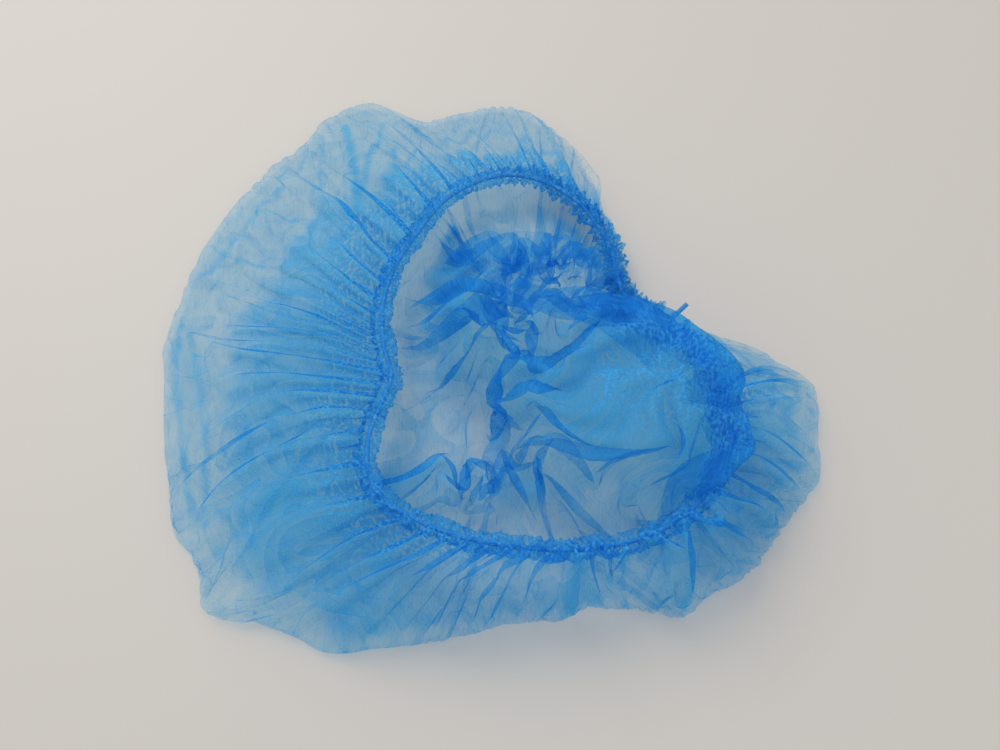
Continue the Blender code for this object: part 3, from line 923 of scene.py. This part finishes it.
    def make(self) -> bpy.types.Object:
        """Build the crown's mesh with its flat places as its map."""
        flat, places, layers, crimped = self.solve()
        count = self.lattice
        index = np.arange(count * count).reshape(count, count)
        quads = np.stack([index[:-1, 1:], index[1:, 1:], index[1:, :-1], index[:-1, :-1]], axis=-1)
        mesh = bpy.data.meshes.new("crown_cloth")
        mesh.from_pydata(places.reshape(-1, 3).tolist(), [], quads.reshape(-1, 4).tolist())
        layer = mesh.uv_layers.new(name="flat")
        corners = np.zeros(len(mesh.loops), dtype=np.int32)
        mesh.loops.foreach_get("vertex_index", corners)
        spread = flat.reshape(-1, 2)[corners] / (2.0 * self.radius) + 0.5
        layer.data.foreach_set("uv", spread.ravel().astype(np.float32))
        for name, values in (("layers", layers), ("crimped", crimped)):
            kept = mesh.attributes.new(name, "FLOAT", "POINT")
            kept.data.foreach_set("value", values.ravel().astype(np.float32))
        mesh.shade_smooth()
        item = bpy.data.objects.new("crown_cloth", mesh)
        bpy.context.collection.objects.link(item)
        return item


class Value:
    """A node's socket that takes part in sums, so that maths made of nodes reads as maths."""

    def __init__(self, tree: bpy.types.NodeTree, socket: bpy.types.NodeSocket) -> None:
        """Wrap one output socket of a tree."""
        self.tree = tree
        self.socket = socket

    def _math(self, operation: str, other: "Value | float", swap: bool = False) -> "Value":
        """Add a Math node of this value and another."""
        node = self.tree.nodes.new("ShaderNodeMath")
        node.operation = operation
        slots = (1, 0) if swap else (0, 1)
        for slot, value in zip(slots, (self, other)):
            if isinstance(value, Value):
                self.tree.links.new(value.socket, node.inputs[slot])
            else:
                node.inputs[slot].default_value = value
        return Value(self.tree, node.outputs[0])

    def __add__(self, other: "Value | float") -> "Value":
        """Return self + other."""
        return self._math("ADD", other)

    def __sub__(self, other: "Value | float") -> "Value":
        """Return self - other."""
        return self._math("SUBTRACT", other)

    def __rsub__(self, other: float) -> "Value":
        """Return other - self."""
        return self._math("SUBTRACT", other, swap=True)

    def __mul__(self, other: "Value | float") -> "Value":
        """Return self * other."""
        return self._math("MULTIPLY", other)

    def __pow__(self, exponent: "Value | float") -> "Value":
        """Return self to a power."""
        return self._math("POWER", exponent)

    def __rpow__(self, base: float) -> "Value":
        """Return base to the power of self."""
        return self._math("POWER", base, swap=True)

    def sine(self) -> "Value":
        """Return the sine of self."""
        return self._math("SINE", 0.0)

    def fraction(self) -> "Value":
        """Return what is left after the whole number."""
        return self._math("FRACT", 0.0)

    def at_least(self, other: "Value | float") -> "Value":
        """Return the larger of self and other."""
        return self._math("MAXIMUM", other)

    def at_most(self, other: "Value | float") -> "Value":
        """Return the smaller of self and other."""
        return self._math("MINIMUM", other)

    __radd__ = __add__
    __rmul__ = __mul__


class NodeGraph:
    """A node tree, with one method that adds any node."""

    def __init__(self, tree: bpy.types.NodeTree) -> None:
        """Wrap an empty tree."""
        self.tree = tree

    def node(self, kind: str, settings: dict | None = None, **inputs: object) -> bpy.types.Node:
        """Add a node.

        Args:
            kind: the node's type.
            settings: properties that are set before its sockets.
            inputs: socket values or links, by the socket's name with underscores for spaces.

        Returns:
            The new node.
        """
        made = self.tree.nodes.new(kind)
        for key, value in (settings or {}).items():
            setattr(made, key, value)
        for key, value in inputs.items():
            self.plug(made.inputs[key.replace("_", " ")], value)
        return made

    def plug(self, socket: bpy.types.NodeSocket, value: object) -> None:
        """Give a socket a value, a wrapped value's link or another socket's link."""
        if isinstance(value, Value):
            self.tree.links.new(value.socket, socket)
        elif isinstance(value, bpy.types.NodeSocket):
            self.tree.links.new(value, socket)
        else:
            socket.default_value = value

    def value(self, socket: bpy.types.NodeSocket) -> Value:
        """Wrap a socket of this tree."""
        return Value(self.tree, socket)

    def noise(self, place: bpy.types.NodeSocket, scale: float, detail: float = 0.0,
              roughness: float = 0.5, dimensions: str = "2D") -> Value:
        """Add a noise pattern and return its height.

        Args:
            place: the socket that gives the pattern's place.
            scale: how many waves a metre has.
            detail: how many finer waves are added.
            roughness: how strong the finer waves are.
            dimensions: 2D on a flat map or 3D in space.

        Returns:
            The pattern's height.
        """
        made = self.node("ShaderNodeTexNoise", {"noise_dimensions": dimensions}, Vector=place, Scale=scale,
                         Detail=detail, Roughness=roughness)
        return self.value(made.outputs[0])


class ShaderTree(NodeGraph):
    """A new material's node tree."""

    def __init__(self, name: str) -> None:
        """Make an empty node material."""
        self.material = bpy.data.materials.new(name)
        self.material.use_nodes = True
        super().__init__(self.material.node_tree)
        self.tree.nodes.clear()

    def turned(self, place: bpy.types.NodeSocket, angle: float, stretch: tuple) -> bpy.types.NodeSocket:
        """Turn and stretch a pattern's place."""
        made = self.node("ShaderNodeMapping", Vector=place, Rotation=(0.0, 0.0, angle), Scale=stretch)
        return made.outputs[0]

    def ramp(self, value: Value, low: float, high: float) -> Value:
        """Return value eased from 0 at low to 1 at high."""
        made = self.node("ShaderNodeMapRange", {"interpolation_type": "SMOOTHSTEP"}, Value=value,
                         From_Min=low, From_Max=high)
        return self.value(made.outputs[0])

    def mix_colour(self, share: Value, first: tuple, second: tuple) -> bpy.types.NodeSocket:
        """Mix two colours by a share."""
        made = self.node("ShaderNodeMix", {"data_type": "RGBA"})
        for slot, value in ((0, share), (6, (*first, 1.0)), (7, (*second, 1.0))):
            self.plug(made.inputs[slot], value)
        return made.outputs[2]


class Layering(Enum):
    """Where a cloth's number of layers comes from."""

    MEASURED = "layers"
    BUNCHED = "bunched"


@dataclass(frozen=True)
class FabricFinish:
    """Spunbond cloth: matted fibres with uneven cover, bonded points, tucks and crinkles, with a painted
    highlight on the crinkle tops where the cloth is crimped.
    """

    name: str
    layering: Layering
    bunched_layers: float = 3.4
    colour: tuple = (0.028, 0.345, 0.830)
    # The whitish fibres' own colour, which also serves as a painted highlight on the tops of crimped crinkles
    pale: tuple = (0.095, 0.500, 0.920)
    tint: tuple = (0.850, 0.967, 1.0)
    deep_layers: float = 7.0
    cover: float = 0.058
    evening: float = -0.7
    map_width: float = 2.0 * DISC_RADIUS
    roughness: float = 0.85

    def build(self) -> bpy.types.Material:
        """Build the cloth's material on its flat map.

        Returns:
            A material whose cloth hides more, and tints what shows through it more, with more layers.
        """
        made = ShaderTree(self.name)
        flat = made.node("ShaderNodeUVMap", {"uv_map": "flat"}).outputs[0]
        metres = made.turned(flat, 0.0, (self.map_width, self.map_width, 1.0))
        clouds = made.ramp(made.noise(metres, 110.0, 1.0, 0.65), 0.22, 0.78)
        strands = [made.ramp(made.noise(made.turned(metres, angle, (1.0, 0.14, 1.0)), scale), 0.50, 0.68)
                   for angle, scale in ((0.4, 900.0), (1.9, 1250.0))]
        fibres = strands[0].at_least(strands[1])
        tucks, overlap = self._tucks(made, metres)
        layers, crimped, evened = self._layers(made)
        place = made.node("ShaderNodeTexCoord").outputs["Object"]
        crinkle = made.noise(place, 620.0)
        # The tops of the fine crinkles: they add layers, and on crimped cloth they are also painted pale as a
        # highlight
        fine_crinkle = made.ramp(crinkle, 0.30, 0.70)
        count = layers * (overlap * 0.65 + 0.68) + tucks * (layers * 0.25 + 1.3)
        count = count * (1.0 + crimped * (fine_crinkle * 1.5 - 0.65))
        cover = ((clouds - 0.5) * 1.2 + (fibres - 0.35) * 1.5) * evened * self.cover + self.cover
        alpha = 1.0 - (1.0 - cover.at_least(0.01).at_most(0.9)) ** count
        deepest = tuple(part ** self.deep_layers for part in self.tint)
        share = (1.0 - self.tint[0] ** count) * (1.0 / (1.0 - deepest[0]))
        # Paler along the whitish fibres, which is their own colour, and a painted highlight on the crinkle
        # tops where the cloth is crimped, the same tops that the bump raises
        fibre_white_and_crinkle_highlight = (fibres * evened * 0.35 + fine_crinkle * crimped * 0.5).at_most(1.0)
        bump = made.node("ShaderNodeBump", Strength=0.5, Distance=0.0005, Height=crinkle * crimped * 3.0)
        surface = made.node("ShaderNodeBsdfPrincipled", Roughness=self.roughness, Specular_IOR_Level=0.25,
                            Base_Color=made.mix_colour(fibre_white_and_crinkle_highlight, self.colour, self.pale),
                            Normal=bump.outputs[0])
        through = made.node("ShaderNodeMixShader", Fac=share.at_most(1.0))
        for slot, tone in ((1, (1.0, 1.0, 1.0)), (2, deepest)):
            clear = made.node("ShaderNodeBsdfTransparent", Color=(*tone, 1.0))
            made.plug(through.inputs[slot], clear.outputs[0])
        mixed = made.node("ShaderNodeMixShader", Fac=alpha)
        made.plug(mixed.inputs[1], through.outputs[0])
        made.plug(mixed.inputs[2], surface.outputs[0])
        made.node("ShaderNodeOutputMaterial", Surface=mixed.outputs[0])
        return made.material

    @staticmethod
    def _tucks(made: ShaderTree, metres: bpy.types.NodeSocket) -> tuple[Value, Value]:
        """Return the thin lines where the cloth is tucked over itself, and how far it overlaps at folds."""
        bent = made.node("ShaderNodeTexNoise", {"noise_dimensions": "2D"}, Vector=metres, Scale=30.0,
                         Detail=0.0)
        away = made.node("ShaderNodeVectorMath", {"operation": "MULTIPLY_ADD"})
        for slot, value in enumerate((bent.outputs["Color"], (0.030, 0.030, 0.0), metres)):
            made.plug(away.inputs[slot], value)
        net = made.node("ShaderNodeTexVoronoi", {"voronoi_dimensions": "2D", "feature": "DISTANCE_TO_EDGE"},
                        Vector=away.outputs[0], Scale=44.0, Randomness=1.0)
        edges = 1.0 - made.ramp(made.value(net.outputs[0]), 0.0, 0.024)
        ridge = made.noise(away.outputs[0], 70.0)
        ridge = (ridge - 0.5).at_least(0.5 - ridge)
        creases = 1.0 - made.ramp(ridge, 0.0, 0.016)
        overlap = (made.noise(away.outputs[0], 24.0) * 6.0).fraction()
        return edges.at_least(creases) * (overlap * 0.9 + 0.2), overlap

    def _layers(self, made: ShaderTree) -> tuple[Value | float, Value | float, Value | float]:
        """Return the number of layers, how crimped the cloth is, and how much its pattern still shows."""
        if self.layering is Layering.BUNCHED:
            # Bunched cloth counts as fully crimped, so its crinkle tops carry the painted highlight
            # everywhere
            return self.bunched_layers, 1.0, self.bunched_layers ** self.evening
        layers, crimped = (
            made.value(made.node("ShaderNodeAttribute", {"attribute_name": name}).outputs["Fac"])
            for name in (Layering.MEASURED.value, "crimped")
        )
        return layers, crimped, layers.at_least(1.0) ** self.evening


@dataclass
class Hem:
    """The folded edge of the cloth, bunched over the elastic into crimps."""

    form: LyingForm
    radius: float = 0.0046
    flatness: float = 0.45
    crimp: float = 0.0012
    pitch: float = 0.0041
    break_length: float = 0.0100
    unevenness: float = 0.7
    wander: float = 0.0009
    rope_bearing: float = 52.0
    rings: int = 1900
    sides: int = 22
    seed: int = 5

    def path(self) -> np.ndarray:
        """Return the hem's centre line, open at the elastic's tail."""
        form = self.form
        gap = self.break_length / float(form.ring_reach(np.array([form.tail_bearing]))[0])
        share = np.linspace(0.0, 1.0, 400)
        path = form.ring_points(form.tail_bearing + blend(gap / 2.0, TURN - gap / 2.0, share))
        rng = np.random.default_rng(self.seed)
        for count in (17, 26, 41, 58):
            phase = rng.uniform(0.0, TURN, 3)
            path += self.wander * np.sin(share[:, None] * TURN * count + phase) * 10.0 / count
        return path

    def inputs(self, length: float, cloth: bpy.types.Material) -> dict[str, tuple[str, object]]:
        """Return the node tree's named inputs, each with its kind and its value."""
        return {
            "Radius": ("Float", self.radius),
            "Crimp": ("Float", self.crimp),
            "Crimps": ("Float", length / self.pitch),
            "Unevenness": ("Float", self.unevenness),
            "Flatness": ("Float", self.flatness),
            "Rings": ("Int", self.rings),
            "Sides": ("Int", self.sides),
            "Cloth": ("Material", cloth),
        }

    @staticmethod
    def tree(inputs: dict[str, tuple[str, object]]) -> bpy.types.NodeTree:
        """Build the nodes that sweep a crimped tube along the hem's line.

        Args:
            inputs: the kind and value of each named input.

        Returns:
            The node tree, which takes the line and gives the tube.
        """
        tree = bpy.data.node_groups.new("crimped_hem", "GeometryNodeTree")
        face = tree.interface
        face.new_socket("Geometry", in_out="INPUT", socket_type="NodeSocketGeometry")
        for name, (kind, _) in inputs.items():
            face.new_socket(name, in_out="INPUT", socket_type=f"NodeSocket{kind}")
        face.new_socket("Geometry", in_out="OUTPUT", socket_type="NodeSocketGeometry")
        made = NodeGraph(tree)
        given = made.node("NodeGroupInput").outputs
        stored = {"data_type": "FLOAT", "domain": "POINT"}

        def named(name: str) -> Value:
            """Read a named attribute."""
            read = made.node("GeometryNodeInputNamedAttribute", {"data_type": "FLOAT"}, Name=name)
            return made.value(read.outputs[0])

        line = made.node("GeometryNodeMeshToCurve", Mesh=given["Geometry"])
        even = made.node("GeometryNodeResampleCurve", Curve=line.outputs[0], Count=given["Rings"])
        place = made.node("GeometryNodeSplineParameter")
        along = made.node("GeometryNodeStoreNamedAttribute", stored, Geometry=even.outputs[0], Name="along",
                          Value=place.outputs["Factor"])
        circle = made.node("GeometryNodeCurvePrimitiveCircle", Resolution=given["Sides"],
                           Radius=given["Radius"])
        shape = made.node("ShaderNodeCombineXYZ", X=1.0, Y=given["Flatness"], Z=1.0)
        squash = made.node("GeometryNodeTransform", Geometry=circle.outputs[0], Scale=shape.outputs[0])
        turn = made.node("GeometryNodeSplineParameter")
        around = made.node("GeometryNodeStoreNamedAttribute", stored, Geometry=squash.outputs[0],
                           Name="around", Value=turn.outputs["Factor"])
        upright = made.node("GeometryNodeSetCurveNormal", {"mode": "Z_UP"}, Curve=along.outputs[0])
        roped = named("roped")
        thick = made.node("GeometryNodeSetCurveRadius", Curve=upright.outputs[0], Radius=roped * 0.25 + 1.0)
        tube = made.node("GeometryNodeCurveToMesh", Curve=thick.outputs[0], Profile_Curve=around.outputs[0])

        where = made.node("GeometryNodeInputPosition").outputs[0]
        jitter = (made.noise(where, 230.0, 2.0, dimensions="3D") - 0.5) * 16.0
        fine_crinkle = (made.noise(where, 620.0, 3.0, dimensions="3D") - 0.5) * 3.2
        phase = named("along") * made.value(given["Crimps"]) * TURN
        wave = (phase + named("around") * TURN + jitter).sine()
        uneven = (phase * 0.37 + jitter * 1.7).sine() * made.value(given["Unevenness"])
        push = ((wave + uneven) * (roped + 0.30) + fine_crinkle) * made.value(given["Crimp"])
        normal = made.node("GeometryNodeInputNormal")
        offset = made.node("ShaderNodeVectorMath", {"operation": "SCALE"}, Vector=normal.outputs[0],
                           Scale=push)
        shaped = made.node("GeometryNodeSetPosition", Geometry=tube.outputs[0], Offset=offset.outputs[0])
        smooth = made.node("GeometryNodeSetShadeSmooth", Geometry=shaped.outputs[0])
        real = made.node("GeometryNodeRealizeInstances", Geometry=smooth.outputs[0])
        dressed = made.node("GeometryNodeSetMaterial", Geometry=real.outputs[0], Material=given["Cloth"])
        made.node("NodeGroupOutput", Geometry=dressed.outputs[0])
        return tree

    def make(self, cloth: bpy.types.Material) -> bpy.types.Object:
        """Sweep the hem and keep it as a plain mesh.

        Args:
            cloth: the hem's material.

        Returns:
            The hem.
        """
        path = self.path()
        length = float(np.linalg.norm(np.diff(path, axis=0), axis=1).sum())
        guide = bpy.data.meshes.new("hem_line")
        guide.from_pydata(path.tolist(), [(i, i + 1) for i in range(len(path) - 1)], [])
        shares = self.form.to_shares(path[:, :2])
        away = np.abs(np.degrees(np.arctan2(shares[:, 1], shares[:, 0])) - self.rope_bearing)
        roped = guide.attributes.new("roped", "FLOAT", "POINT")
        roped.data.foreach_set("value", smooth_step((48.0 - away) / 20.0).astype(np.float32))
        item = bpy.data.objects.new("hem_cloth", guide)
        bpy.context.collection.objects.link(item)
        inputs = self.inputs(length, cloth)
        modifier = item.modifiers.new("crimps", "NODES")
        modifier.node_group = self.tree(inputs)
        for socket in modifier.node_group.interface.items_tree:
            if socket.in_out == "INPUT" and socket.name in inputs:
                modifier[socket.identifier] = inputs[socket.name][1]
        graph = bpy.context.evaluated_depsgraph_get()
        mesh = bpy.data.meshes.new_from_object(item.evaluated_get(graph), depsgraph=graph)
        item.modifiers.remove(modifier)
        item.data = mesh
        mesh.name = "hem_cloth"
        self._map(mesh)
        LOG.info("hem: %.0f mm round, %d faces", 1e3 * length, len(mesh.polygons))
        return item

    def _map(self, mesh: bpy.types.Mesh) -> None:
        """Give the hem a flat map from its places, so that the cloth's pattern has its real size."""
        if "flat" not in mesh.uv_layers:
            mesh.uv_layers.new(name="flat")
        corners = np.zeros(len(mesh.loops), dtype=np.int32)
        mesh.loops.foreach_get("vertex_index", corners)
        places = np.zeros(len(mesh.vertices) * 3, dtype=np.float32)
        mesh.vertices.foreach_get("co", places)
        level = places.reshape(-1, 3)[corners]
        spread = np.stack([level[:, 0] + level[:, 2], level[:, 1] - level[:, 2]], axis=-1)
        spread /= 2.0 * DISC_RADIUS
        mesh.uv_layers["flat"].data.foreach_set("uv", spread.ravel().astype(np.float32))


@dataclass
class Elastic:
    """The covered elastic inside the hem, with its free tail."""

    form: LyingForm
    diameter: float = 0.0022
    tail_length: float = 0.0080
    tail_rise: float = math.radians(35.0)

    def make(self, cover: bpy.types.Material) -> bpy.types.Object:
        """Make the elastic as a tube and keep it as a plain mesh.

        Args:
            cover: the elastic's material.

        Returns:
            The elastic.
        """
        form = self.form
        reach = float(form.ring_reach(np.array([form.tail_bearing]))[0])
        share = np.linspace(0.0, 1.0, 260)
        around = form.ring_points(form.tail_bearing + blend(0.0005 / reach, TURN - 0.0026 / reach, share))
        heading = around[-1] - around[-2]
        heading /= np.linalg.norm(heading)
        outward = np.array([heading[1], -heading[0], 0.0])
        outward = outward * math.cos(self.tail_rise) + np.array([0.0, 0.0, math.sin(self.tail_rise)])
        bend = []
        for step in range(1, 7):
            angle = math.pi / 2.0 * step / 6
            offset = heading * math.sin(angle) + outward * (1.0 - math.cos(angle))
            bend.append(around[-1] + offset * self.diameter)
        tail = [bend[-1] + outward * self.tail_length * part for part in (0.3, 0.65, 1.0)]
        path = np.concatenate([around, np.array(bend), np.array(tail)])
        curve = bpy.data.curves.new("elastic_line", "CURVE")
        curve.dimensions = "3D"
        spline = curve.splines.new("POLY")
        spline.points.add(len(path) - 1)
        for point, place in zip(spline.points, path):
            point.co = (*place, 1.0)
        curve.bevel_depth = self.diameter / 2.0
        curve.bevel_resolution = 3
        curve.use_fill_caps = True
        guide = bpy.data.objects.new("elastic_guide", curve)
        bpy.context.collection.objects.link(guide)
        graph = bpy.context.evaluated_depsgraph_get()
        mesh = bpy.data.meshes.new_from_object(guide.evaluated_get(graph), depsgraph=graph)
        bpy.data.objects.remove(guide, do_unlink=True)
        mesh.materials.clear()
        mesh.materials.append(cover)
        mesh.shade_smooth()
        item = bpy.data.objects.new("elastic_cord", mesh)
        bpy.context.collection.objects.link(item)
        return item


@dataclass(frozen=True)
class CordFinish:
    """Covered elastic: a ribbed thread cover."""

    name: str = "covered_elastic"
    colour: tuple = (0.045, 0.270, 0.600)
    pale: tuple = (0.08, 0.38, 0.76)

    def build(self) -> bpy.types.Material:
        """Build the cover's material."""
        made = ShaderTree(self.name)
        place = made.node("ShaderNodeTexCoord").outputs["Object"]
        ribs = made.noise(place, 1400.0, 2.0)
        colour = made.mix_colour(ribs, self.colour, self.pale)
        bump = made.node("ShaderNodeBump", Strength=0.5, Distance=0.0003, Height=ribs)
        surface = made.node("ShaderNodeBsdfPrincipled", Base_Color=colour, Roughness=0.7,
                            Normal=bump.outputs[0])
        made.node("ShaderNodeOutputMaterial", Surface=surface.outputs[0])
        return made.material


@dataclass
class Studio:
    """The pale table, the soft light and the camera at the photograph's angle."""

    aim: tuple = (0.008, -0.0215, 0.012)
    distance: float = 0.473
    elevation: float = math.radians(62.0)
    lens: float = 38.0
    table_half_size: float = 9.0
    deepest_stack: int = 20
    sky_colour: tuple = (1.0, 0.985, 0.965, 1.0)
    sky_strength: float = 0.62

    def table(self) -> bpy.types.Object:
        """Make the pale table top."""
        made = ShaderTree("table")
        surface = made.node("ShaderNodeBsdfPrincipled", Base_Color=(0.60, 0.575, 0.545, 1.0), Roughness=0.55)
        made.node("ShaderNodeOutputMaterial", Surface=surface.outputs[0])
        mesh = bpy.data.meshes.new("table")
        size = self.table_half_size
        mesh.from_pydata([(-size, -size, 0.0), (size, -size, 0.0), (size, size, 0.0), (-size, size, 0.0)],
                         [], [(0, 1, 2, 3)])
        mesh.materials.append(made.material)
        item = bpy.data.objects.new("table", mesh)
        bpy.context.collection.objects.link(item)
        return item

    def light(self, name: str, place: tuple, size: float, power: float, colour: tuple) -> None:
        """Add a soft square lamp that faces the cap.

        Args:
            name: the lamp's name.
            place: where it hangs, in metres.
            size: the length of its side, in metres.
            power: its power, in watts.
            colour: its colour.
        """
        lamp = bpy.data.lights.new(name, "AREA")
        lamp.shape = "SQUARE"
        lamp.size = size
        lamp.energy = power
        lamp.color = colour
        item = bpy.data.objects.new(name, lamp)
        item.location = place
        item.rotation_euler = (Vector((0.0, 0.0, 0.0)) - Vector(place)).to_track_quat("-Z", "Y").to_euler()
        bpy.context.collection.objects.link(item)

    def sky(self) -> None:
        """Fill the room with even pale light."""
        world = bpy.data.worlds.new("room")
        world.use_nodes = True
        background = world.node_tree.nodes["Background"]
        background.inputs["Color"].default_value = self.sky_colour
        background.inputs["Strength"].default_value = self.sky_strength
        bpy.context.scene.world = world

    def camera(self) -> None:
        """Place the camera at the photograph's angle."""
        lens = bpy.data.cameras.new("camera")
        lens.lens = self.lens
        lens.sensor_width = 36.0
        lens.clip_start = 0.01
        item = bpy.data.objects.new("camera", lens)
        back = Vector((0.0, -math.cos(self.elevation), math.sin(self.elevation)))
        item.location = Vector(self.aim) + back * self.distance
        item.rotation_euler = (-back).to_track_quat("-Z", "Y").to_euler()
        bpy.context.collection.objects.link(item)
        bpy.context.scene.camera = item

    def build(self) -> None:
        """Build the whole studio."""
        self.table()
        self.light("window", (-0.55, 0.75, 1.10), 0.9, 9.0, (1.0, 0.98, 0.95))
        self.light("fill", (0.5, -0.6, 1.3), 1.2, 3.0, (0.97, 0.98, 1.0))
        self.sky()
        self.camera()
        scene = bpy.context.scene
        scene.view_settings.view_transform = "Standard"
        scene.cycles.transparent_max_bounces = self.deepest_stack


def main() -> None:
    """Build the cap, piece by piece, and its studio."""
    logging.basicConfig(level=logging.INFO, format="%(name)s: %(message)s")
    low, high = (np.array(corner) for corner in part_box("crown"))
    form = LyingForm(low, high)
    Studio().build()
    cloth = FabricFinish("sheer_cloth", Layering.MEASURED).build()
    gathered = FabricFinish("gathered_cloth", Layering.BUNCHED).build()
    cover = CordFinish().build()

    crown = Crown(form)
    sheet = crown.make()
    sheet.data.materials.append(cloth)
    LOG.info("crown: %d faces", len(sheet.data.polygons))
    hem = Hem(form).make(gathered)
    cord = Elastic(form).make(cover)

    for piece, node, slot in ((sheet, "crown", "nonwoven_cloth"), (hem, "hem", "gathered_cloth"),
                              (cord, "elastic", "covered_elastic")):
        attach(piece, BODY)
        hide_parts(node)
    2.0 * crown.radius
    2.0 * crown.radius
    math.pi * crown.radius**2


if __name__ == "__main__":
    main()
